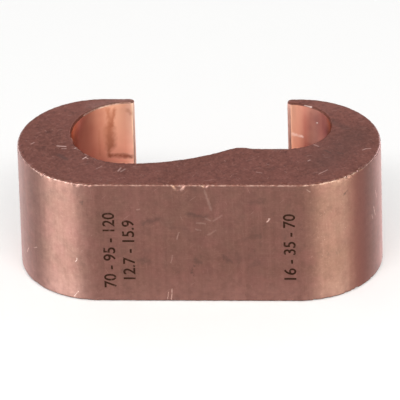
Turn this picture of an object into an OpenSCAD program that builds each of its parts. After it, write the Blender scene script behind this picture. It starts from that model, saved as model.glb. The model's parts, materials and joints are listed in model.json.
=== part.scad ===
// Compression ground connector: one length of extruded copper bar, sawn off square and tumbled.
// Seen from above, the run groove is at the -X end, the tap groove is at the +X end, and both open
// into one mouth on the +Y side. The flat front is at -Y, and the conductors lie along Z.

/* [Body] */
// Length over both rounded ends
body_l = 50.8; // [46:0.1:60]
// Depth from the flat front to the horns
body_d = 23.4; // [21:0.1:25.6]
// Height of the sawn piece, along the conductors
body_h = 19.05; // [8:0.05:60]
// Bevel that tumbling leaves on the edges of both sawn ends
edge_break = 0.25; // [0.1:0.05:0.35]

/* [Run groove] */
// Diameter of the groove for the main conductor or ground rod
run_d = 16.4; // [13.6:0.1:18]
// Wall between the run groove and the end of the body
run_wall = 7.5; // [4:0.1:9]
// Thickness of the horn over the run groove
run_horn = 1.05; // [0.9:0.05:2]
// Distance by which the run horn stops short of the groove's middle
run_setback = 0.45; // [0:0.05:2]

/* [Tap groove] */
// Diameter of the groove for the tap conductor
tap_d = 12.1; // [10:0.1:14.5]
// Wall between the tap groove and the end of the body
tap_wall = 7.2; // [6.1:0.1:9]
// Thickness of the horn over the tap groove
tap_horn = 1.35; // [0.9:0.05:2]
// Distance by which the tap horn stops short of the groove's middle
tap_setback = 0.45; // [0:0.05:1.5]
// Length of the flat floor that leads into the tap groove
tap_flat = 4.25; // [1:0.05:7]

/* [Ridge between the grooves] */
// Radius over the top of the ridge
ridge_r = 2.8; // [1.5:0.1:4]
// Height of the ridge over the tap floor
ridge_h = 0.35; // [0.2:0.05:1]
// Radius of the hollow between the ridge and the tap floor
hollow_r = 2.8; // [1.5:0.1:4]

/* [Hidden] */
$fn = 96;

copper = "#8f5f55";

// Round faces that blend into each other cross by this much, so that no two only touch
blend_lap = 0.005;

// Nearest thousandth of a millimetre
function micron(size) = round(size * 1000) / 1000;

// Other leg of a right triangle, from its longest side and one leg
function leg(longest, other) = sqrt(longest * longest - other * other);

end_r = body_d / 2;
end_x = body_l / 2 - end_r;

// The grooves lie under their horns, each beside its own end wall
run_r = run_d / 2;
run_axis = [-body_l / 2 + run_wall + run_r, end_r - run_horn - run_r];
tap_r = tap_d / 2;
tap_axis = [body_l / 2 - tap_wall - tap_r, end_r - tap_horn - tap_r];
run_bottom = run_axis.y - run_r;
tap_floor = tap_axis.y - tap_r;

// A horn ends in a full round nose, which touches the back face and blends into the groove
function nose_r(groove_r, horn, setback) =
    micron(horn / 2 + setback * setback / (2 * groove_r + horn) / 2 + blend_lap);

run_nose_r = nose_r(run_r, run_horn, run_setback);
run_nose_axis = [run_axis.x - run_setback, end_r - run_nose_r];
tap_nose_r = nose_r(tap_r, tap_horn, tap_setback);
tap_nose_axis = [tap_axis.x + tap_setback, end_r - tap_nose_r];

// The hollow starts where the flat tap floor ends, and the ridge blends into the hollow
hollow_axis = [tap_axis.x - tap_flat, tap_floor + hollow_r];
ridge_y = tap_floor + ridge_h - ridge_r;
ridge_gap = leg(ridge_r + hollow_r - blend_lap, hollow_axis.y - ridge_y);
ridge_axis = [micron(hollow_axis.x - ridge_gap), ridge_y];

// The run floor is the arc that leaves the groove's lowest point level and blends into the ridge
rise = ridge_y + ridge_r - run_bottom;
ridge_reach = ridge_axis.x - run_axis.x;
floor_reach = (ridge_reach * ridge_reach + rise * rise - blend_lap * blend_lap) / 2 / (rise - blend_lap);
floor_r = micron(floor_reach - ridge_r);
floor_axis = [run_axis.x, run_bottom + floor_r];
floor_sweep = asin(ridge_reach / floor_r);

// Half section of a solid round bar with both end edges broken
module bar_half(r) {
    polygon([
        [0, 0],
        [r - edge_break, 0],
        [r, edge_break],
        [r, body_h - edge_break],
        [r - edge_break, body_h],
        [0, body_h],
    ]);
}

// Half section of a round hollow that flares at both ends and runs past them
module groove_half(r) {
    polygon([
        [0, -edge_break],
        [r + 2 * edge_break, -edge_break],
        [r, edge_break],
        [r, body_h - edge_break],
        [r + 2 * edge_break, body_h + edge_break],
        [0, body_h + edge_break],
    ]);
}

// Half section turned about an upright axis, from one compass angle through a sweep
module turned(axis, from = 0, sweep = 360) {
    translate([axis.x, axis.y, 0])
        rotate([0, 0, from])
            rotate_extrude(angle = sweep)
                children();
}

// Section in Y and Z carried along X from one place to another
module along_x(from, to) {
    translate([from, 0, 0])
        rotate([90, 0, 90])
            linear_extrude(to - from)
                children();
}

// Bar with a flat front, a flat back and two half-round ends
module bar() {
    turned([-end_x, 0], 90, 180)
        bar_half(end_r);
    turned([end_x, 0], -90, 180)
        bar_half(end_r);
    along_x(-end_x, end_x) {
        bar_half(end_r);
        mirror([1, 0])
            bar_half(end_r);
    }
}

// Space of the run groove and of the floor that rises from it
module run_space() {
    turned(run_axis, 90, 180)
        groove_half(run_r);
    turned(floor_axis, -90, floor_sweep)
        groove_half(floor_r);
}

// Space of the tap groove, of its flat floor, which opens right through the back, and of the hollow
module tap_space() {
    turned(tap_axis, -90, 180)
        groove_half(tap_r);
    along_x(hollow_axis.x, tap_axis.x)
        translate([tap_floor + body_d, 0])
            mirror([1, 0])
                groove_half(body_d);
    turned(hollow_axis, 90, 180)
        groove_half(hollow_r);
}

// Space over the ridge and out between the horns. Two arcs meet on the line through their axes,
// so those axes are its corners
module mouth_space() {
    translate([0, 0, -edge_break])
        linear_extrude(body_h + 2 * edge_break) {
            polygon([floor_axis, ridge_axis, hollow_axis]);
            polygon([
                run_axis,
                run_nose_axis,
                [run_nose_axis.x, body_d],
                [tap_nose_axis.x, body_d],
                tap_nose_axis,
                tap_axis,
                hollow_axis,
            ]);
        }
}

// Ridge and horn noses, which stand in the open space
module round_edges() {
    turned(ridge_axis)
        bar_half(ridge_r);
    turned(run_nose_axis)
        bar_half(run_nose_r);
    turned(tap_nose_axis)
        bar_half(tap_nose_r);
}

module connector_body() {
    color(copper)
        difference() {
            bar();
            difference() {
                union() {
                    run_space();
                    tap_space();
                    mouth_space();
                }
                round_edges();
            }
        }
}

connector_body();
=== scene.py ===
import json
import math
import random
from functools import partial

import bpy
from mathutils import Matrix, Vector


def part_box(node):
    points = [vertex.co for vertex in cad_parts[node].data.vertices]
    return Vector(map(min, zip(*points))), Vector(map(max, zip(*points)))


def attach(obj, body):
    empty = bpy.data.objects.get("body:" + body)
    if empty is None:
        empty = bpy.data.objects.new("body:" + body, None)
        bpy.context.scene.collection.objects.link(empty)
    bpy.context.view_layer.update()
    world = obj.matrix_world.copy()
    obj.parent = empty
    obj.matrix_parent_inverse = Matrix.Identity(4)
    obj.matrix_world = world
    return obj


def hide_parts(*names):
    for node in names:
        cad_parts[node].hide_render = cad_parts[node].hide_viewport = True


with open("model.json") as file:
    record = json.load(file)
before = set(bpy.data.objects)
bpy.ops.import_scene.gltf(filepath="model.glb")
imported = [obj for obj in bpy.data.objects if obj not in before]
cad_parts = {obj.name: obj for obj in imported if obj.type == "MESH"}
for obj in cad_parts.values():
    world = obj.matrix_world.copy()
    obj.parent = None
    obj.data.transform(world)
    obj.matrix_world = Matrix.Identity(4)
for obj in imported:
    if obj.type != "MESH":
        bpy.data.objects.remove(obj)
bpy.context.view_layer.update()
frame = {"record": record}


# Connector body
# One length of copper bar, extruded to a C with a large groove for the main conductor, called the run,
# and a small one for the tap, sawn off square and tumbled, which breaks and knocks the sawn edges.

mm = 0.001

low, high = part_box("connector_body")
height = high.z - low.z

# The outside stands back by the thickness of the printed ink, so that the ink is within the part's size
ink_film = 0.01 * mm
end_r = (high.y - low.y) / 2 - ink_film
end_x = (high.x - low.x) / 2 - ink_film - end_r

mounts = {mount["name"]: mount for mount in frame["record"]["mounts"]}
run_axis = Vector(mounts["run_groove"]["pos_m"]).to_2d()
run_r = mounts["run_groove"]["dims"]["r_mm"] * mm
tap_axis = Vector(mounts["tap_groove"]["pos_m"]).to_2d()
tap_r = mounts["tap_groove"]["dims"]["r_mm"] * mm

horn_setback = 0.45 * mm
tap_flat = 4.25 * mm
ridge_r = 2.8 * mm
ridge_h = 0.35 * mm
hollow_r = 2.8 * mm


def horn_nose(axis, radius, setback):
    """Axis and radius of the full round nose of a horn, and its lean off the middle of the groove."""
    horn = end_r - axis.y - radius
    nose_r = horn / 2 + setback ** 2 / (2 * radius + horn) / 2
    lean = math.asin(abs(setback) / (radius + nose_r))
    return Vector((axis.x + setback, end_r - nose_r)), nose_r, lean


run_nose, run_nose_r, run_lean = horn_nose(run_axis, run_r, -horn_setback)
tap_nose, tap_nose_r, tap_lean = horn_nose(tap_axis, tap_r, horn_setback)

run_bottom = run_axis.y - run_r
tap_floor = tap_axis.y - tap_r
hollow = Vector((tap_axis.x - tap_flat, tap_floor + hollow_r))
ridge_y = tap_floor + ridge_h - ridge_r
hollow_turn = math.acos((hollow.y - ridge_y) / (ridge_r + hollow_r))
ridge = Vector((hollow.x - (ridge_r + hollow_r) * math.sin(hollow_turn), ridge_y))

rise = ridge_y + ridge_r - run_bottom
reach = ridge.x - run_axis.x
floor_reach = (reach ** 2 + rise ** 2) / rise / 2
floor_r = floor_reach - ridge_r
floor_axis = Vector((run_axis.x, run_bottom + floor_r))
floor_turn = math.asin(reach / floor_reach)

outline_step = 0.16 * mm
fewest_steps = 14


def draw_line(along_x):
    """Carries the selected point along X in short steps."""
    count = round(abs(along_x) / outline_step)
    for _ in range(count):
        bpy.ops.mesh.extrude_region_move(TRANSFORM_OT_translate={"value": (along_x / count, 0, 0)})


def draw_arc(axis, radius, turn):
    """Carries the selected point round an upright axis, anticlockwise from above for a turn over zero."""
    count = max(round(radius * abs(turn) / outline_step), fewest_steps)
    bpy.ops.mesh.spin(steps=count, angle=turn, center=(axis.x, axis.y, low.z), axis=(0, 0, -1))


# The section is drawn on the floor, along the front, round the tap end and back through both grooves
bpy.ops.object.select_all(action="DESELECT")
bpy.ops.mesh.primitive_plane_add(size=outline_step)
body = bpy.context.object
body.name = "copper_body"
bpy.ops.object.mode_set(mode="EDIT")
bpy.ops.mesh.merge(type="CENTER")
bpy.ops.transform.translate(value=(-end_x, -end_r, low.z))
draw_line(2 * end_x)
draw_arc(Vector((end_x, 0)), end_r, math.pi)
draw_line(tap_nose.x - end_x)
draw_arc(tap_nose, tap_nose_r, math.pi - tap_lean)
draw_arc(tap_axis, tap_r, tap_lean - math.pi)
draw_line(hollow.x - tap_axis.x)
draw_arc(hollow, hollow_r, -hollow_turn)
draw_arc(ridge, ridge_r, hollow_turn + floor_turn)
draw_arc(floor_axis, floor_r, -floor_turn)
draw_arc(run_axis, run_r, run_lean - math.pi)
draw_arc(run_nose, run_nose_r, math.pi - run_lean)
draw_line(-end_x - run_nose.x)
draw_arc(Vector((-end_x, 0)), end_r, math.pi)
bpy.ops.mesh.select_all(action="SELECT")
bpy.ops.mesh.remove_doubles(threshold=outline_step / 8)
bpy.ops.mesh.edge_face_add()

# It grows to its height in rows that crowd towards both ends, where the edges are worn
end_rows = [row * mm for row in (0.32, 0.12, 0.16, 0.22, 0.3, 0.4, 0.6, 0.9)]
middle_rows = 6
middle_row = (height - 2 * sum(end_rows)) / middle_rows
for row in end_rows + [middle_row] * middle_rows + end_rows[::-1]:
    bpy.ops.mesh.extrude_region_move(TRANSFORM_OT_translate={"value": (0, 0, row)})
bpy.ops.mesh.select_all(action="SELECT")
bpy.ops.mesh.normals_make_consistent(inside=False)
bpy.ops.object.mode_set(mode="OBJECT")


def choose_sawn_ends():
    """Selects the flat face of each sawn end, the only two faces with more than four corners."""
    bpy.ops.object.mode_set(mode="EDIT")
    bpy.ops.mesh.select_mode(type="FACE")
    bpy.ops.mesh.select_all(action="DESELECT")
    bpy.ops.object.mode_set(mode="OBJECT")
    for face in body.data.polygons:
        face.select = len(face.vertices) > 4
    bpy.ops.object.mode_set(mode="EDIT")


# Both sawn ends get a rounded rim, and a narrow flat border that keeps the round off the flat face
edge_break = 0.25 * mm
border = 0.05 * mm
choose_sawn_ends()
bpy.ops.mesh.region_to_loop()
bpy.ops.mesh.bevel(offset=edge_break, segments=4, profile=0.5, affect="EDGES", clamp_overlap=False)
bpy.ops.object.mode_set(mode="OBJECT")
choose_sawn_ends()
bpy.ops.mesh.inset(thickness=border)
bpy.ops.object.mode_set(mode="OBJECT")

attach(body, "root")
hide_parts("connector_body")


def linear(hex_colour):
    """Linear red, green, blue and alpha of an sRGB hex colour."""
    parts = [int(hex_colour[place:place + 2], 16) / 255 for place in (1, 3, 5)]
    return [part / 12.92 if part <= 0.04045 else ((part + 0.055) / 1.055) ** 2.4 for part in parts] + [1]


def node(tree, kind, settings, inputs):
    """Adds a node with its settings. An input takes a value, or a link where it is given an output."""
    made = tree.nodes.new(kind)
    for name, value in settings.items():
        setattr(made, name, value)
    for name, value in inputs.items():
        if isinstance(value, bpy.types.NodeSocket):
            tree.links.new(value, made.inputs[name])
        else:
            made.inputs[name].default_value = value
    return made


def new_copper(name):
    """Bare metal on the body, with its node tree, its shader and the place on the part."""
    material = bpy.data.materials.new(name)
    material.use_nodes = True
    body.data.materials.append(material)
    tree = material.node_tree
    shader = tree.nodes["Principled BSDF"]
    shader.inputs["Metallic"].default_value = 1
    return tree, shader, node(tree, "ShaderNodeTexCoord", {}, {}).outputs["Object"]


def clouds(tree, place, grain, start=0.35, full=0.65, most=1.0, seed=0.0):
    """Soft patches of a size: zero where the noise is under start, and most where it is over full."""
    noise = node(tree, "ShaderNodeTexNoise", {"noise_dimensions": "4D"},
                 {"Vector": place, "Scale": 1 / grain, "Detail": 3, "W": seed})
    spread = node(tree, "ShaderNodeMapRange", {},
                  {"Value": noise.outputs["Fac"], "From Min": start, "From Max": full, "To Max": most})
    return spread.outputs["Result"]


def streaks(tree, place, turn, length, width, start, most, seed):
    """Hair lines of a length and width that lie one way, fewer the higher start is."""
    softness = 0.04
    angles = [math.radians(angle) for angle in turn]
    along = node(tree, "ShaderNodeMapping", {"vector_type": "TEXTURE"},
                 {"Vector": place, "Rotation": angles, "Scale": (length, width, width)})
    noise = node(tree, "ShaderNodeTexNoise", {"noise_dimensions": "4D"},
                 {"Vector": along.outputs["Vector"], "Scale": 1, "Detail": 1, "W": seed})
    line = node(tree, "ShaderNodeMapRange", {},
                {"Value": noise.outputs["Fac"], "From Min": start, "From Max": start + softness,
                 "To Max": most})
    return line.outputs["Result"]


def specks(tree, place, spacing, width, share, most, seed):
    """Round dots of a width, on a share of the places of a loose grid."""
    cells = node(tree, "ShaderNodeTexVoronoi", {"voronoi_dimensions": "4D"},
                 {"Vector": place, "Scale": 1 / spacing, "W": seed})
    dots = node(tree, "ShaderNodeMapRange", {},
                {"Value": cells.outputs["Distance"], "From Max": width / spacing,
                 "To Min": most, "To Max": 0})
    chosen = node(tree, "ShaderNodeMath", {"operation": "LESS_THAN"},
                  {0: cells.outputs["Color"], 1: share})
    shown = node(tree, "ShaderNodeMath", {"operation": "MULTIPLY"},
                 {0: dots.outputs["Result"], 1: chosen.outputs["Value"]})
    return shown.outputs["Value"]


def stroke(tree, place, start, end, width, most):
    """One mark along the line between two places, soft at its sides and ends."""
    along = end - start
    from_start = node(tree, "ShaderNodeVectorMath", {"operation": "SUBTRACT"}, {0: place, 1: start})
    share = node(tree, "ShaderNodeVectorMath", {"operation": "DOT_PRODUCT"},
                 {0: from_start.outputs["Vector"], 1: along / along.length_squared})
    within = node(tree, "ShaderNodeClamp", {}, {"Value": share.outputs["Value"]})
    nearest = node(tree, "ShaderNodeVectorMath", {"operation": "SCALE"},
                   {0: along, "Scale": within.outputs["Result"]})
    off_line = node(tree, "ShaderNodeVectorMath", {"operation": "DISTANCE"},
                    {0: from_start.outputs["Vector"], 1: nearest.outputs["Vector"]})
    line = node(tree, "ShaderNodeMapRange", {},
                {"Value": off_line.outputs["Value"], "From Min": width / 10, "From Max": width / 2,
                 "To Min": most, "To Max": 0})
    return line.outputs["Result"]


def ragged(tree, place, grain, reach):
    """Place that wanders off by a part of the reach, so that a mark drawn there gets ragged sides."""
    noise = node(tree, "ShaderNodeTexNoise", {}, {"Vector": place, "Scale": 1 / grain, "Detail": 3})
    wander = node(tree, "ShaderNodeVectorMath", {"operation": "SUBTRACT"},
                  {0: noise.outputs["Color"], 1: (0.5, 0.5, 0.5)})
    moved = node(tree, "ShaderNodeVectorMath", {"operation": "MULTIPLY_ADD"},
                 {0: wander.outputs["Vector"], 1: (reach, reach, reach), 2: place})
    return moved.outputs["Vector"]


def painted(tree, tone, layers):
    """Colour of a ground tone under layers, each a pattern with the colour that it lays down."""
    # The colour sockets of this node share their names with others, so they go by number
    share, under, over, result = 0, 6, 7, 2
    for pattern, colour in layers:
        mixed = node(tree, "ShaderNodeMix", {"data_type": "RGBA"},
                     {share: pattern, under: tone, over: linear(colour)})
        tone = mixed.outputs[result]
    return tone


def strokes(tree, place, on_face, marks, colour):
    """Layers of one colour for marks, each with a start, an end and a width in mm, and a strength."""
    return [
        (stroke(tree, place, on_face(*start), on_face(*end), width * mm, most), colour)
        for start, end, width, most in marks
    ]


# Tumbled extruded copper: a brown tarnish under a thin film of oil, which turns pale where the surface
# turns away, faint die lines along the bar, and finer marks round it that draw the lamps out into bands
tree, shader, place = new_copper("tumbled_copper_skin")
apart = node(tree, "ShaderNodeSeparateXYZ", {}, {"Vector": place})
# Painted reflection of the floor: the skin turns lighter towards the foot
painted_floor_reflection = node(tree, "ShaderNodeMapRange", {},
            {"Value": apart.outputs["Z"], "From Min": 5 * mm, "From Max": 0, "To Max": 0.9})
die_line_stretch = 25
drawn = node(tree, "ShaderNodeMapping", {"vector_type": "TEXTURE"},
             {"Vector": place, "Scale": (1, 1, die_line_stretch)}).outputs["Vector"]
skin_tarnish_and_painted_light = [
    (clouds(tree, place, 6 * mm, seed=9), "#7C4E46"),
    (clouds(tree, place, 2.5 * mm, most=0.45, seed=10), "#6F4E41"),
    (painted_floor_reflection.outputs["Result"], "#865B52"),
    (clouds(tree, place, 0.8 * mm, 0.4, 0.7, 0.4, 1), "#5E3A31"),
    (clouds(tree, place, 0.3 * mm, 0.5, 0.75, 0.35, 11), "#8F6255"),
    (clouds(tree, place, 2.2 * mm, 0.55, 0.75, 0.35, 2), "#563A33"),
    (clouds(tree, drawn, 0.9 * mm, 0.45, 0.65, 0.19, 12), "#5E3B32"),
    (clouds(tree, drawn, 0.5 * mm, 0.45, 0.65, 0.17, 13), "#8C5E52"),
    (streaks(tree, place, (0, 4, 0), 7 * mm, 0.15 * mm, 0.62, 0.12, 3), "#946A5D"),
    (streaks(tree, place, (0, 86, 0), 4 * mm, 0.15 * mm, 0.66, 0.2, 4), "#946A5D"),
    (streaks(tree, place, (0, -40, 0), 3 * mm, 0.11 * mm, 0.74, 0.4, 5), "#BC9184"),
    (streaks(tree, place, (0, 65, 0), 3 * mm, 0.10 * mm, 0.74, 0.4, 6), "#BC9184"),
    (specks(tree, place, 2.6 * mm, 0.12 * mm, 0.35, 0.6, 5), "#C79E91"),
    (specks(tree, place, 1.4 * mm, 0.14 * mm, 0.35, 0.6, 6), "#422A24"),
]


def on_front(x_mm, z_mm):
    """Place on the front, on the flat or round the ends, for an X and a height in millimetres."""
    past_flat = max(abs(x_mm) * mm - end_x, 0)
    return Vector((x_mm * mm, -math.sqrt(end_r ** 2 - past_flat ** 2), low.z + z_mm * mm))


# Pale scuffs, dark smudges, and painted shade that makes the round of the tap's end darker and redder
scuffed = ragged(tree, place, 0.4 * mm, 0.35 * mm)
skin_tarnish_and_painted_light += strokes(tree, scuffed, on_front, (
    ((1.3, 18.1), (2.15, 15.0), 0.5, 0.12),
    ((0.1, 12.9), (1.2, 12.8), 0.4, 0.13),
    ((1.4, 13.6), (1.95, 13.25), 0.4, 0.14),
    ((2.4, 13.25), (3.6, 14.1), 0.4, 0.1),
    ((1.65, 10.95), (2.7, 11.65), 0.4, 0.1),
    ((-0.05, 11.85), (0.6, 11.7), 0.35, 0.13),
    ((-2.75, 10.25), (-2.45, 11.3), 0.25, 0.22),
    ((-3.65, 6.4), (-3.4, 7.6), 0.25, 0.16),
    ((-8.2, 15.0), (-7.75, 15.1), 0.25, 0.2),
    ((9.9, 13.1), (10.2, 13.6), 0.25, 0.9),
    ((-4.3, 0.3), (-4.15, 1.55), 0.16, 0.6),
    ((-3.75, 0.3), (-3.65, 2.05), 0.18, 0.7),
    ((-17.4, 0.4), (-16.7, 1.4), 0.16, 0.5),
    ((-16.95, 6.2), (-16.75, 6.8), 0.2, 0.5),
    ((-24.2, 4.1), (-23.9, 5.0), 0.18, 0.6),
    ((-23.1, 5.8), (-22.6, 6.3), 0.16, 0.5),
    ((15.5, 18.2), (15.9, 17.9), 0.3, 0.25),
    ((24.4, 11.2), (24.6, 9.7), 0.24, 0.45),
    ((24.65, 13.6), (24.8, 12.3), 0.24, 0.35),
    ((24.15, 10.4), (24.25, 9.6), 0.24, 0.35),
), "#D8B0A3")
smudged = ragged(tree, place, 0.8 * mm, 1.5 * mm)
skin_tarnish_and_painted_light += strokes(tree, smudged, on_front, (
    ((20.35, 16.1), (20.9, 16.6), 0.5, 0.8),
    ((-0.45, 6.2), (-0.65, 4.2), 0.3, 0.6),
    ((-0.8, 14.2), (1.4, 13.85), 1.3, 0.5),
    ((-7.2, 13.0), (-5.2, 13.5), 1.4, 0.45),
    ((-7.9, 6.8), (-6.6, 6.5), 1.3, 0.35),
    ((-0.2, 6.8), (0.3, 6.5), 1.1, 0.45),
    ((3.9, 7.4), (4.5, 6.7), 1.0, 0.5),
    ((7.6, 6.0), (8.7, 6.6), 1.4, 0.3),
    ((7.9, 16.2), (9.2, 16.4), 1.4, 0.3),
    ((6.0, 10.1), (9.1, 10.8), 0.8, 0.25),
    ((-18.5, 17.55), (-18.0, 17.7), 0.8, 0.3),
    ((-16.15, 15.9), (-15.75, 16.3), 0.4, 0.5),
), "#4E332D")
# Painted shade on the round of the tap's end
skin_tarnish_and_painted_light += strokes(tree, place, on_front, (((22.7, 0), (22.7, 19), 6, 0.65),), "#7A4037")
tree.links.new(painted(tree, linear("#744A40"), skin_tarnish_and_painted_light), shader.inputs["Base Color"])
rough = node(tree, "ShaderNodeMapRange", {},
             {"Value": clouds(tree, place, 0.9 * mm, seed=7), "To Min": 0.42, "To Max": 0.5})
tree.links.new(rough.outputs["Result"], shader.inputs["Roughness"])
shader.inputs["Anisotropic"].default_value = 0.8
shader.inputs["Anisotropic Rotation"].default_value = 0.25
shader.inputs["Coat Weight"].default_value = 0.3
shader.inputs["Coat Roughness"].default_value = 0.4
bump = node(tree, "ShaderNodeBump", {},
            {"Strength": 0.4, "Distance": 0.01 * mm,
             "Height": clouds(tree, place, 1.2 * mm, 0.2, 0.8, 1, 8)})
tree.links.new(bump.outputs["Normal"], shader.inputs["Normal"])

# Sawn and tumbled copper: duller and darker than the skin, cloudy, with short bright scratches and pits, a
# painted glint on the tap's rim, and the rims of the grooves darkened as tarnish and painted shade, with a
# copper specular tint there, which keeps them from shining
tree, shader, place = new_copper("sawn_copper")
apart = node(tree, "ShaderNodeSeparateXYZ", {}, {"Vector": place})
rear = node(tree, "ShaderNodeMapRange", {"interpolation_type": "SMOOTHSTEP"},
            {"Value": apart.outputs["Y"], "From Min": 3 * mm, "From Max": 10 * mm, "To Max": 0.5})

# The tarnish and painted shade in the rims start just off the flat, are thickest far round the grooves
# and end at the front
from_middle = node(tree, "ShaderNodeMath", {"operation": "ABSOLUTE"}, {0: apart.outputs["X"]})
rim_tarnish_and_shade = node(tree, "ShaderNodeMapRange", {},
                   {"Value": from_middle.outputs["Value"], "From Min": 14 * mm, "From Max": 17 * mm,
                    "To Min": 0.55, "To Max": 0.72})
behind_front = node(tree, "ShaderNodeMapRange", {},
                    {"Value": apart.outputs["Y"], "From Min": -9 * mm, "From Max": -7 * mm,
                     "To Max": rim_tarnish_and_shade.outputs["Result"]})
above_half = node(tree, "ShaderNodeMath", {"operation": "SUBTRACT"},
                  {0: apart.outputs["Z"], 1: low.z + height / 2})
off_half = node(tree, "ShaderNodeMath", {"operation": "ABSOLUTE"}, {0: above_half.outputs["Value"]})
groove_rim_tarnish_and_shade = node(tree, "ShaderNodeMapRange", {},
                  {"Value": off_half.outputs["Value"], "From Min": height / 2 - 0.01 * mm,
                   "From Max": height / 2 - 0.06 * mm, "To Max": behind_front.outputs["Result"]})

even_film = 0.15
dullness_and_painted_light = [
    (rear.outputs["Result"], "#8A584F"),
    (clouds(tree, place, 4 * mm, seed=9), "#693B33"),
    (clouds(tree, place, 0.8 * mm, most=0.6, seed=1), "#75453B"),
    (clouds(tree, place, 1.6 * mm, 0.56, 0.75, 0.6, 2), "#482721"),
    (clouds(tree, place, 0.3 * mm, 0.48, 0.75, 0.6, 3), "#835349"),
    (clouds(tree, place, 0.3 * mm, 0.52, 0.75, 0.7, 10), "#4A2822"),
    (streaks(tree, place, (0, 0, 15), 2.2 * mm, 0.18 * mm, 0.7, 0.3, 4), "#B08A80"),
    (streaks(tree, place, (0, 0, 65), 1.8 * mm, 0.16 * mm, 0.71, 0.35, 5), "#B08A80"),
    (streaks(tree, place, (0, 0, -50), 1.5 * mm, 0.16 * mm, 0.71, 0.35, 6), "#B08A80"),
    (specks(tree, place, 1.8 * mm, 0.14 * mm, 0.3, 0.6, 5), "#BC948A"),
    (specks(tree, place, 1.2 * mm, 0.18 * mm, 0.35, 0.8, 6), "#402721"),
    (groove_rim_tarnish_and_shade.outputs["Result"], "#4A261E"),
    (even_film, "#201B1B"),
]


def on_top(x_mm, y_mm):
    """Place on the upper sawn end, for an X and a Y in millimetres."""
    return Vector((x_mm * mm, y_mm * mm, high.z))


# Bright scratches, a painted glint on the tap's rim, and dark patches
dullness_and_painted_light += strokes(tree, place, on_top, (
    ((-19.75, -1.35), (-18.5, -1.5), 0.26, 0.55),
    ((-19.0, -2.05), (-18.45, -2.05), 0.3, 0.25),
    ((-17.8, 0.8), (-17.5, 0.0), 0.4, 0.35),
    ((-17.25, -2.0), (-16.9, -1.75), 0.25, 0.45),
    ((-16.85, -2.15), (-16.3, -2.55), 0.25, 0.45),
    ((-15.7, -3.5), (-15.25, -3.75), 0.28, 0.5),
    ((-15.95, -4.85), (-15.5, -4.3), 0.25, 0.5),
    ((-15.6, -4.4), (-15.2, -4.8), 0.25, 0.35),
    ((-13.95, -7.5), (-13.15, -6.7), 0.16, 0.25),
    ((-10.85, -8.05), (-10.5, -7.2), 0.35, 0.25),
    ((-10.45, -8.15), (-9.9, -7.5), 0.35, 0.2),
    ((-23.4, -0.85), (-23.0, -0.45), 0.22, 0.35),
    ((8.3, -8.2), (9.15, -8.45), 0.16, 0.25),
    ((15.4, -5.2), (15.7, -4.95), 0.22, 0.45),
    ((17.0, -8.7), (18.2, -7.55), 0.16, 0.4),
    ((16.05, -0.8), (16.75, -1.3), 0.3, 0.25),
    ((22.9, -2.25), (23.35, -1.9), 0.2, 0.4),
    ((23.35, -1.9), (24.05, -1.8), 0.18, 0.35),
    # A painted glint on the rim of the tap's groove
    ((14.4, 9.85), (15.3, 9.5), 0.5, 0.8),
    ((-15.0, 9.6), (-10.0, 11.0), 4, 0.06),
), "#D3AFA6")
dullness_and_painted_light += strokes(tree, place, on_top, (
    ((-19.3, -3.8), (-18.3, -4.85), 1.2, 0.6),
    ((17.65, -2.3), (18.5, -3.05), 0.4, 0.7),
    ((19.5, -3.05), (20.2, -3.2), 0.4, 0.6),
    ((18.0, 5.6), (20.4, 3.7), 1.6, 0.35),
    ((17.5, -5.5), (21.5, 1.5), 7, 0.35),
), "#48302B")
tree.links.new(painted(tree, linear("#5C3229"), dullness_and_painted_light), shader.inputs["Base Color"])
sheen = painted(tree, linear("#FFFFFF"), [(groove_rim_tarnish_and_shade.outputs["Result"], "#8A5A4E")])
tree.links.new(sheen, shader.inputs["Specular Tint"])
rough = node(tree, "ShaderNodeMapRange", {},
             {"Value": clouds(tree, place, 0.9 * mm, seed=7), "To Min": 0.68, "To Max": 0.78})
tree.links.new(rough.outputs["Result"], shader.inputs["Roughness"])
bump = node(tree, "ShaderNodeBump", {},
            {"Strength": 0.5, "Distance": 0.02 * mm,
             "Height": clouds(tree, place, 0.8 * mm, 0.2, 0.8, 1, 8)})
tree.links.new(bump.outputs["Normal"], shader.inputs["Normal"])

# Bright drawn copper of the grooves, in tones across the part that are painted light and shade: salmon
# inside the horns, red brown deep inside, and a painted shade towards the upper rim; red brown on the
# floor of the mouth, with brown water stains
tree, shader, place = new_copper("bright_copper_groove")
apart = node(tree, "ShaderNodeSeparateXYZ", {}, {"Vector": place})
groove_start = run_axis.x - run_r
groove_end = tap_axis.x + tap_r
through = node(tree, "ShaderNodeMapRange", {},
               {"Value": apart.outputs["X"], "From Min": groove_start, "From Max": groove_end})
# The tones across the grooves are painted light and shade: bright salmon in the horns, dark red brown deep
# inside
groove_tone_and_painted_light = node(tree, "ShaderNodeValToRGB", {}, {"Fac": through.outputs["Result"]})
groove_tone_and_painted_light.color_ramp.elements[0].color = linear("#3D1B16")
groove_tone_and_painted_light.color_ramp.elements[1].color = linear("#2E1E1B")
for x_mm, colour in (
    (-17.7, "#5C2F27"),
    (-17.5, "#7D4337"),
    (-17.1, "#AE6558"),
    (-15.6, "#AF6153"),
    (-14.2, "#BC7160"),
    (-12.6, "#DD9883"),
    (-11.0, "#ECAA92"),
    (-10.2, "#FAC3AD"),
    (12.5, "#F0AD91"),
    (13.4, "#D58D75"),
    (14.4, "#934C40"),
    (15.2, "#6B352F"),
    (16.0, "#7A4640"),
    (16.7, "#A06056"),
    (17.4, "#7A4946"),
    (17.7, "#5A3733"),
):
    stop = groove_tone_and_painted_light.color_ramp.elements.new((x_mm * mm - groove_start) / (groove_end - groove_start))
    stop.color = linear(colour)
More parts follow.
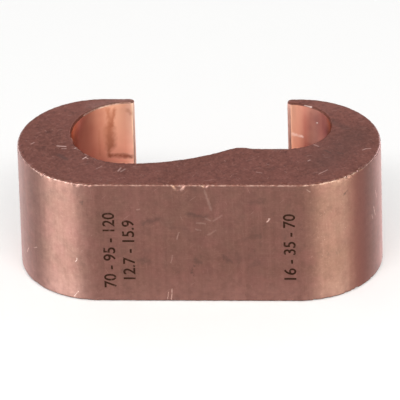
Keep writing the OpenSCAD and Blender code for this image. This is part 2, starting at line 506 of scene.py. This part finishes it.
# Painted shade: the groove walls are darker towards the upper rim
upper = node(tree, "ShaderNodeMapRange", {},
             {"Value": apart.outputs["Z"], "From Min": 12 * mm, "From Max": 18 * mm, "To Max": 0.43})
mouth = node(tree, "ShaderNodeMapRange", {"interpolation_type": "SMOOTHSTEP"},
             {"Value": apart.outputs["Y"], "From Min": 2 * mm, "From Max": -2 * mm})
stains_and_painted_shade = [
    (upper.outputs["Result"], "#502821"),
    (mouth.outputs["Result"], "#A56A5B"),
    (clouds(tree, place, 3 * mm, most=0.2, seed=1), "#B97C68"),
    (specks(tree, place, 2.2 * mm, 0.12 * mm, 0.3, 0.6, 5), "#F6D8CB"),
]


def on_horn(axis, radius, x_mm, z_mm):
    """Place on the inside of a horn, for an X and a height in millimetres."""
    off_axis = x_mm * mm - axis.x
    return Vector((x_mm * mm, axis.y + math.sqrt(radius ** 2 - off_axis ** 2), low.z + z_mm * mm))


# Water stains in the run's horn and rubbed ticks in the tap's
dried = ragged(tree, place, 0.6 * mm, 0.7 * mm)
stains_and_painted_shade += strokes(tree, dried, partial(on_horn, run_axis, run_r), (
    ((-13.25, 18.2), (-13.05, 15.6), 1.1, 0.75),
    ((-12.4, 18.0), (-12.9, 15.6), 0.9, 0.8),
    ((-13.2, 15.2), (-13.1, 12.3), 2.3, 0.85),
    ((-14.6, 15.3), (-14.6, 11.2), 0.6, 0.25),
    ((-13.3, 11.8), (-13.3, 10.6), 0.8, 0.6),
    ((-13.3, 10.7), (-10.4, 10.1), 1.0, 0.8),
    ((-10.6, 17.7), (-10.1, 17.2), 0.9, 0.4),
), "#94523F")
stains_and_painted_shade += strokes(tree, dried, partial(on_horn, tap_axis, tap_r), (
    ((12.6, 14.0), (14.0, 13.8), 0.6, 0.35),
    ((16.1, 16.75), (16.25, 16.8), 0.25, 0.45),
), "#FBE6DC")
tree.links.new(painted(tree, groove_tone_and_painted_light.outputs["Color"], stains_and_painted_shade), shader.inputs["Base Color"])
shader.inputs["Specular Tint"].default_value = linear("#B06A58")
shader.inputs["Roughness"].default_value = 0.65
shader.inputs["Anisotropic"].default_value = 0.8
shader.inputs["Anisotropic Rotation"].default_value = 0.25

# Worn copper of the rims: the tarnish is rubbed off the high spots and stays in the hollows, and a painted
# shade darkens the rims far round the ends
tree, shader, place = new_copper("worn_copper_edge")
apart = node(tree, "ShaderNodeSeparateXYZ", {}, {"Vector": place})
from_middle = node(tree, "ShaderNodeMath", {"operation": "ABSOLUTE"}, {0: apart.outputs["X"]})
# Painted shade: the rims are darker far round the ends
far_round_shade = node(tree, "ShaderNodeMapRange", {},
                 {"Value": from_middle.outputs["Value"], "From Min": 22 * mm, "From Max": 24.2 * mm,
                  "To Max": 0.75})
rubbed_spots_and_shade = [
    (clouds(tree, place, 0.5 * mm, 0.45, 0.6), "#825F56"),
    (specks(tree, place, 0.8 * mm, 0.3 * mm, 0.4, 0.75, 5), "#C19A90"),
    (far_round_shade.outputs["Result"], "#5A3B33"),
]
tree.links.new(painted(tree, linear("#66423A"), rubbed_spots_and_shade), shader.inputs["Base Color"])
shader.inputs["Roughness"].default_value = 0.48

# Rubbed copper of the horns' noses: between the bright grooves and the brown skin, with marks along the
# bar, and a painted highlight that makes the run's side paler
tree, shader, place = new_copper("rubbed_copper_nose")
apart = node(tree, "ShaderNodeSeparateXYZ", {}, {"Vector": place})
# Painted highlight: the run's nose is paler
run_side_highlight = node(tree, "ShaderNodeMapRange", {},
                {"Value": apart.outputs["X"], "From Min": 0, "From Max": -5 * mm, "To Max": 0.65})
rubs_and_highlight = [
    (clouds(tree, place, 0.9 * mm, most=0.6, seed=1), "#936356"),
    (streaks(tree, place, (0, 90, 0), 5 * mm, 0.12 * mm, 0.6, 0.5, 2), "#BD9081"),
    (run_side_highlight.outputs["Result"], "#D7AEA1"),
]
tree.links.new(painted(tree, linear("#A87568"), rubs_and_highlight), shader.inputs["Base Color"])
shader.inputs["Roughness"].default_value = 0.6

# The finishes, in the order in which they were made
SKIN, SAWN, GROOVE, EDGE, NOSE = range(5)

# A face is a wall up to the first rise of its normal, and flat from the second. The rim of the run's horn
# is rubbed where it looks forward, and the lip of each nose is as bright as its groove
wall_rise = 0.05
flat_rise = 0.99
forward = -0.2
rub_start = -16.5 * mm
bright_lip = 0.25 * mm


def on_outside(place):
    """True on the flat front and back, on the round ends and on their rims."""
    past_flat = max(abs(place.x) - end_x, 0)
    return math.hypot(past_flat, place.y) > end_r - edge_break


def on_nose(place):
    """True on the round noses of both horns."""
    past_lip = run_nose.x + bright_lip < place.x < tap_nose.x - bright_lip
    return place.y > tap_nose.y - tap_nose_r and past_lip


for face in body.data.polygons:
    rubbed_horn = rub_start < face.center.x < run_nose.x and face.normal.y < forward
    if abs(face.normal.z) > flat_rise:
        face.material_index = SAWN
    elif abs(face.normal.z) > wall_rise:
        face.material_index = EDGE if on_outside(face.center) or rubbed_horn else SAWN
    elif on_nose(face.center):
        face.material_index = NOSE
    elif on_outside(face.center):
        face.material_index = SKIN
    else:
        face.material_index = GROOVE

# Tumbling wears the rims unevenly, never outwards
flat_ends = [face for face in body.data.polygons if len(face.vertices) > 4]
flat_corners = {corner for face in flat_ends for corner in face.vertices}
wear_depth = 0.8 * mm
worn = body.vertex_groups.new(name="worn_rim")
for point in body.data.vertices:
    depth = min(point.co.z - low.z, high.z - point.co.z)
    if depth < wear_depth and point.index not in flat_corners:
        worn.add([point.index], 1 - depth / wear_depth, "REPLACE")
wear_pattern = bpy.data.textures.new("rim_wear", "CLOUDS")
wear_pattern.noise_scale = 0.7 * mm
wear = body.modifiers.new("rim_wear", "DISPLACE")
wear.texture = wear_pattern
wear.texture_coords = "LOCAL"
wear.vertex_group = "worn_rim"
wear.mid_level = 1
wear.strength = 0.09 * mm
bpy.ops.object.select_all(action="DESELECT")
body.select_set(True)
bpy.context.view_layer.objects.active = body
bpy.ops.object.modifier_apply(modifier="rim_wear")

# The flat ends are cut into small cells, so that a blow on a rim moves only the metal round it
cell = 1.2 * mm
choose_sawn_ends()
bpy.ops.mesh.hide(unselected=True)
for step, span in ((Vector((cell, 0, 0)), high.x), (Vector((0, cell, 0)), high.y)):
    cuts = int(span / cell)
    for cut in range(-cuts, cuts + 1):
        bpy.ops.mesh.select_all(action="SELECT")
        bpy.ops.mesh.bisect(plane_co=step * cut, plane_no=step.normalized())
bpy.ops.mesh.reveal()
bpy.ops.object.mode_set(mode="OBJECT")


def knock(place, width, depth):
    """Pushes the metal in round the point of the surface that is nearest to a place."""
    struck = min(body.data.vertices, key=lambda point: (point.co - place).length_squared)
    struck_index = struck.index
    push = -struck.normal * depth
    bpy.ops.object.mode_set(mode="EDIT")
    bpy.ops.mesh.select_mode(type="VERT")
    bpy.ops.mesh.select_all(action="DESELECT")
    bpy.ops.object.mode_set(mode="OBJECT")
    body.data.vertices[struck_index].select = True
    bpy.ops.object.mode_set(mode="EDIT")
    bpy.ops.transform.translate(value=push, use_proportional_edit=True, proportional_size=width / 2,
                                proportional_edit_falloff="SPHERE")
    bpy.ops.object.mode_set(mode="OBJECT")


def rim_place(bearing, end_z):
    """Place on the round of the outer rim of a sawn end, at a bearing in degrees from the front."""
    turn = math.radians(bearing)
    middle_x = math.copysign(end_x, math.sin(turn))
    return Vector((middle_x + end_r * math.sin(turn), -end_r * math.cos(turn), end_z))


# Blows on the flat of the upper rim, by X, width and depth, and on its rounds, by bearing instead of X
for x_mm, width, depth in ((-2.25, 1.7, 0.22), (1.35, 0.8, 0.16)):
    knock(Vector((x_mm * mm, -end_r, high.z)), width * mm, depth * mm)
for bearing, width, depth in ((-41.4, 0.5, 0.14), (-5.5, 0.6, 0.12), (39, 0.6, 0.15), (49, 0.5, 0.12)):
    knock(rim_place(bearing, high.z), width * mm, depth * mm)

# Smaller blows all round the foot, and fewer and shallower ones round the front of the top
chance = random.Random(4)
for end_z, most_bearing, most_depth, knocks in ((low.z, 180, 0.12, 24), (high.z, 80, 0.07, 8)):
    for _ in range(knocks):
        bearing = chance.uniform(-most_bearing, most_bearing)
        width = chance.uniform(0.4, 0.9)
        depth = chance.uniform(0.04, most_depth)
        knock(rim_place(bearing, end_z), width * mm, depth * mm)

bpy.ops.object.shade_smooth_by_angle(angle=math.radians(30))


# Size marks
# The conductor sizes that each groove takes, in square millimetres, and the rod sizes in millimetres.
# They are ink-jet printed on the front, and tumbling with other parts has rubbed them a little.

dark_ink = bpy.data.materials.new("rubbed_brown_ink")
dark_ink.use_nodes = True
tree = dark_ink.node_tree
shader = tree.nodes["Principled BSDF"]
place = node(tree, "ShaderNodeTexCoord", {}, {}).outputs["Object"]
rubbed = clouds(tree, place, 0.5 * mm, 0.55, 0.75, 0.7)
tree.links.new(painted(tree, linear("#39261D"), [(rubbed, "#7B564D")]), shader.inputs["Base Color"])
tree.links.new(rubbed, shader.inputs["Metallic"])
shader.inputs["Roughness"].default_value = 0.5
shader.inputs["Specular IOR Level"].default_value = 0

letter_size = 2.35 * mm
letter_weight = 0.03 * mm


def size_mark(name, figures, middle_x, foot_z):
    """Figures on the front that read upwards from a height, centred on an upright line."""
    bpy.ops.object.select_all(action="DESELECT")
    bpy.ops.object.text_add()
    print_line = bpy.context.object.data
    print_line.body = figures
    print_line.size = letter_size
    print_line.offset = letter_weight
    print_line.extrude = 0.4 * ink_film
    print_line.align_y = "CENTER"
    bpy.ops.object.convert(target="MESH")
    mark = bpy.context.object
    mark.name = name
    reads_up = Matrix(((0, -1, 0), (0, 0, -1), (1, 0, 0)))
    mark.matrix_world = Matrix.Translation((middle_x, -end_r - ink_film / 2, foot_z)) @ reads_up.to_4x4()
    bpy.ops.object.transform_apply(location=True, rotation=True, scale=True)
    mark.data.materials.append(dark_ink)
    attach(mark, "root")


size_mark("run_conductor_mark", "70 - 95 - 120", -12.1 * mm, 2.2 * mm)
size_mark("run_rod_mark", "12.7 - 15.9", -9.4 * mm, 3.2 * mm)
size_mark("tap_conductor_mark", "16 - 35 - 70", 13.0 * mm, 3.2 * mm)


# Studio
# A plain pale floor and a white room, with two soft boxes at the sides, one overhead and two low behind,
# and a long lens that looks down on the front.


def looked_at(tree):
    """One for a ray of the camera, of metal or of glass, and zero for the light that falls on things."""
    path = node(tree, "ShaderNodeLightPath", {}, {})
    seen = node(tree, "ShaderNodeMath", {"operation": "MAXIMUM"},
                {0: path.outputs["Is Camera Ray"], 1: path.outputs["Is Glossy Ray"]})
    seen_through = node(tree, "ShaderNodeMath", {"operation": "MAXIMUM"},
                        {0: seen.outputs["Value"], 1: path.outputs["Is Transmission Ray"]})
    return seen_through.outputs["Value"]


floor_side = 3.0
floor_gap = 0.02 * mm
bpy.ops.object.select_all(action="DESELECT")
bpy.ops.mesh.primitive_plane_add(size=floor_side, location=(0, 0, low.z - floor_gap))
floor = bpy.context.object
floor.name = "studio_floor"

floor_paint = bpy.data.materials.new("white_floor_paint")
floor_paint.use_nodes = True
tree = floor_paint.node_tree
shader = tree.nodes["Principled BSDF"]
shader.inputs["Base Color"].default_value = linear("#E8E8E7")
shader.inputs["Specular IOR Level"].default_value = 0
lift = node(tree, "ShaderNodeMapRange", {}, {"Value": looked_at(tree), "To Max": 0.2})
shader.inputs["Emission Color"].default_value = linear("#FFFFFF")
tree.links.new(lift.outputs["Result"], shader.inputs["Emission Strength"])
floor.data.materials.append(floor_paint)

world = bpy.data.worlds.new("white_studio")
bpy.context.scene.world = world
world.use_nodes = True
tree = world.node_tree
background = tree.nodes["Background"]
strength = node(tree, "ShaderNodeMapRange", {}, {"Value": looked_at(tree), "To Min": 0.6, "To Max": 1.0})
background.inputs["Color"].default_value = linear("#FFFFFF")
tree.links.new(strength.outputs["Result"], background.inputs["Strength"])


def outward(azimuth, elevation):
    """Direction away from the connector, at a bearing from the front and an elevation in degrees."""
    turn = math.radians(azimuth)
    lift = math.radians(elevation)
    return Vector((math.sin(turn) * math.cos(lift), -math.cos(turn) * math.cos(lift), math.sin(lift)))


middle = Vector((0, 0, height / 2))


def soft_box(name, azimuth, elevation, distance, wide, tall, radiance, colour, lights_floor):
    """Soft box that faces the connector."""
    lamp = bpy.data.lights.new(name, "AREA")
    lamp.shape = "RECTANGLE"
    lamp.size = wide
    lamp.size_y = tall
    lamp.energy = math.pi * wide * tall * radiance
    lamp.color = linear(colour)[:3]
    holder = bpy.data.objects.new(name, lamp)
    holder.visible_camera = False
    holder.visible_diffuse = lights_floor
    bpy.context.scene.collection.objects.link(holder)
    away = outward(azimuth, elevation)
    holder.location = middle + away * distance
    holder.rotation_euler = away.to_track_quat("Z", "Y").to_euler()


# Those at the sides and behind only show in the metal, so that the floor stays at the level of the room
soft_box("left_box", -53, 13, 0.5, 0.44, 0.24, 29, "#D6F9FF", False)
soft_box("right_box", 49.5, 13, 0.5, 0.43, 0.24, 18.5, "#DCFFF2", False)
soft_box("back_left_box", -125, 12, 0.5, 0.36, 0.16, 17, "#E4F2FF", False)
soft_box("back_right_box", 138, 12, 0.5, 0.24, 0.16, 26.5, "#E9F1FF", False)
soft_box("top_box", 0, 52, 0.6, 0.7, 0.12, 9, "#FFFFFF", True)

view_azimuth = 3.545
view_elevation = 31.524
view_roll = -1.689
view_distance = 1101.7 * mm
image_side = 400
focal_pixels = 7865
shift_pixels = (-0.592, -0.542)

camera = bpy.data.objects.new("camera", bpy.data.cameras.new("camera"))
bpy.context.scene.collection.objects.link(camera)
camera.data.lens = focal_pixels / image_side * camera.data.sensor_width
camera.data.shift_x = shift_pixels[0] / image_side
camera.data.shift_y = shift_pixels[1] / image_side
back = outward(view_azimuth, view_elevation)
right = outward(view_azimuth + 90, 0)
level = Matrix((right, back.cross(right), back)).transposed()
rolled = level @ Matrix.Rotation(math.radians(view_roll), 3, "Z")
camera.matrix_world = Matrix.Translation(middle + back * view_distance) @ rolled.to_4x4()
bpy.context.scene.camera = camera
bpy.context.scene.view_settings.view_transform = "Standard"
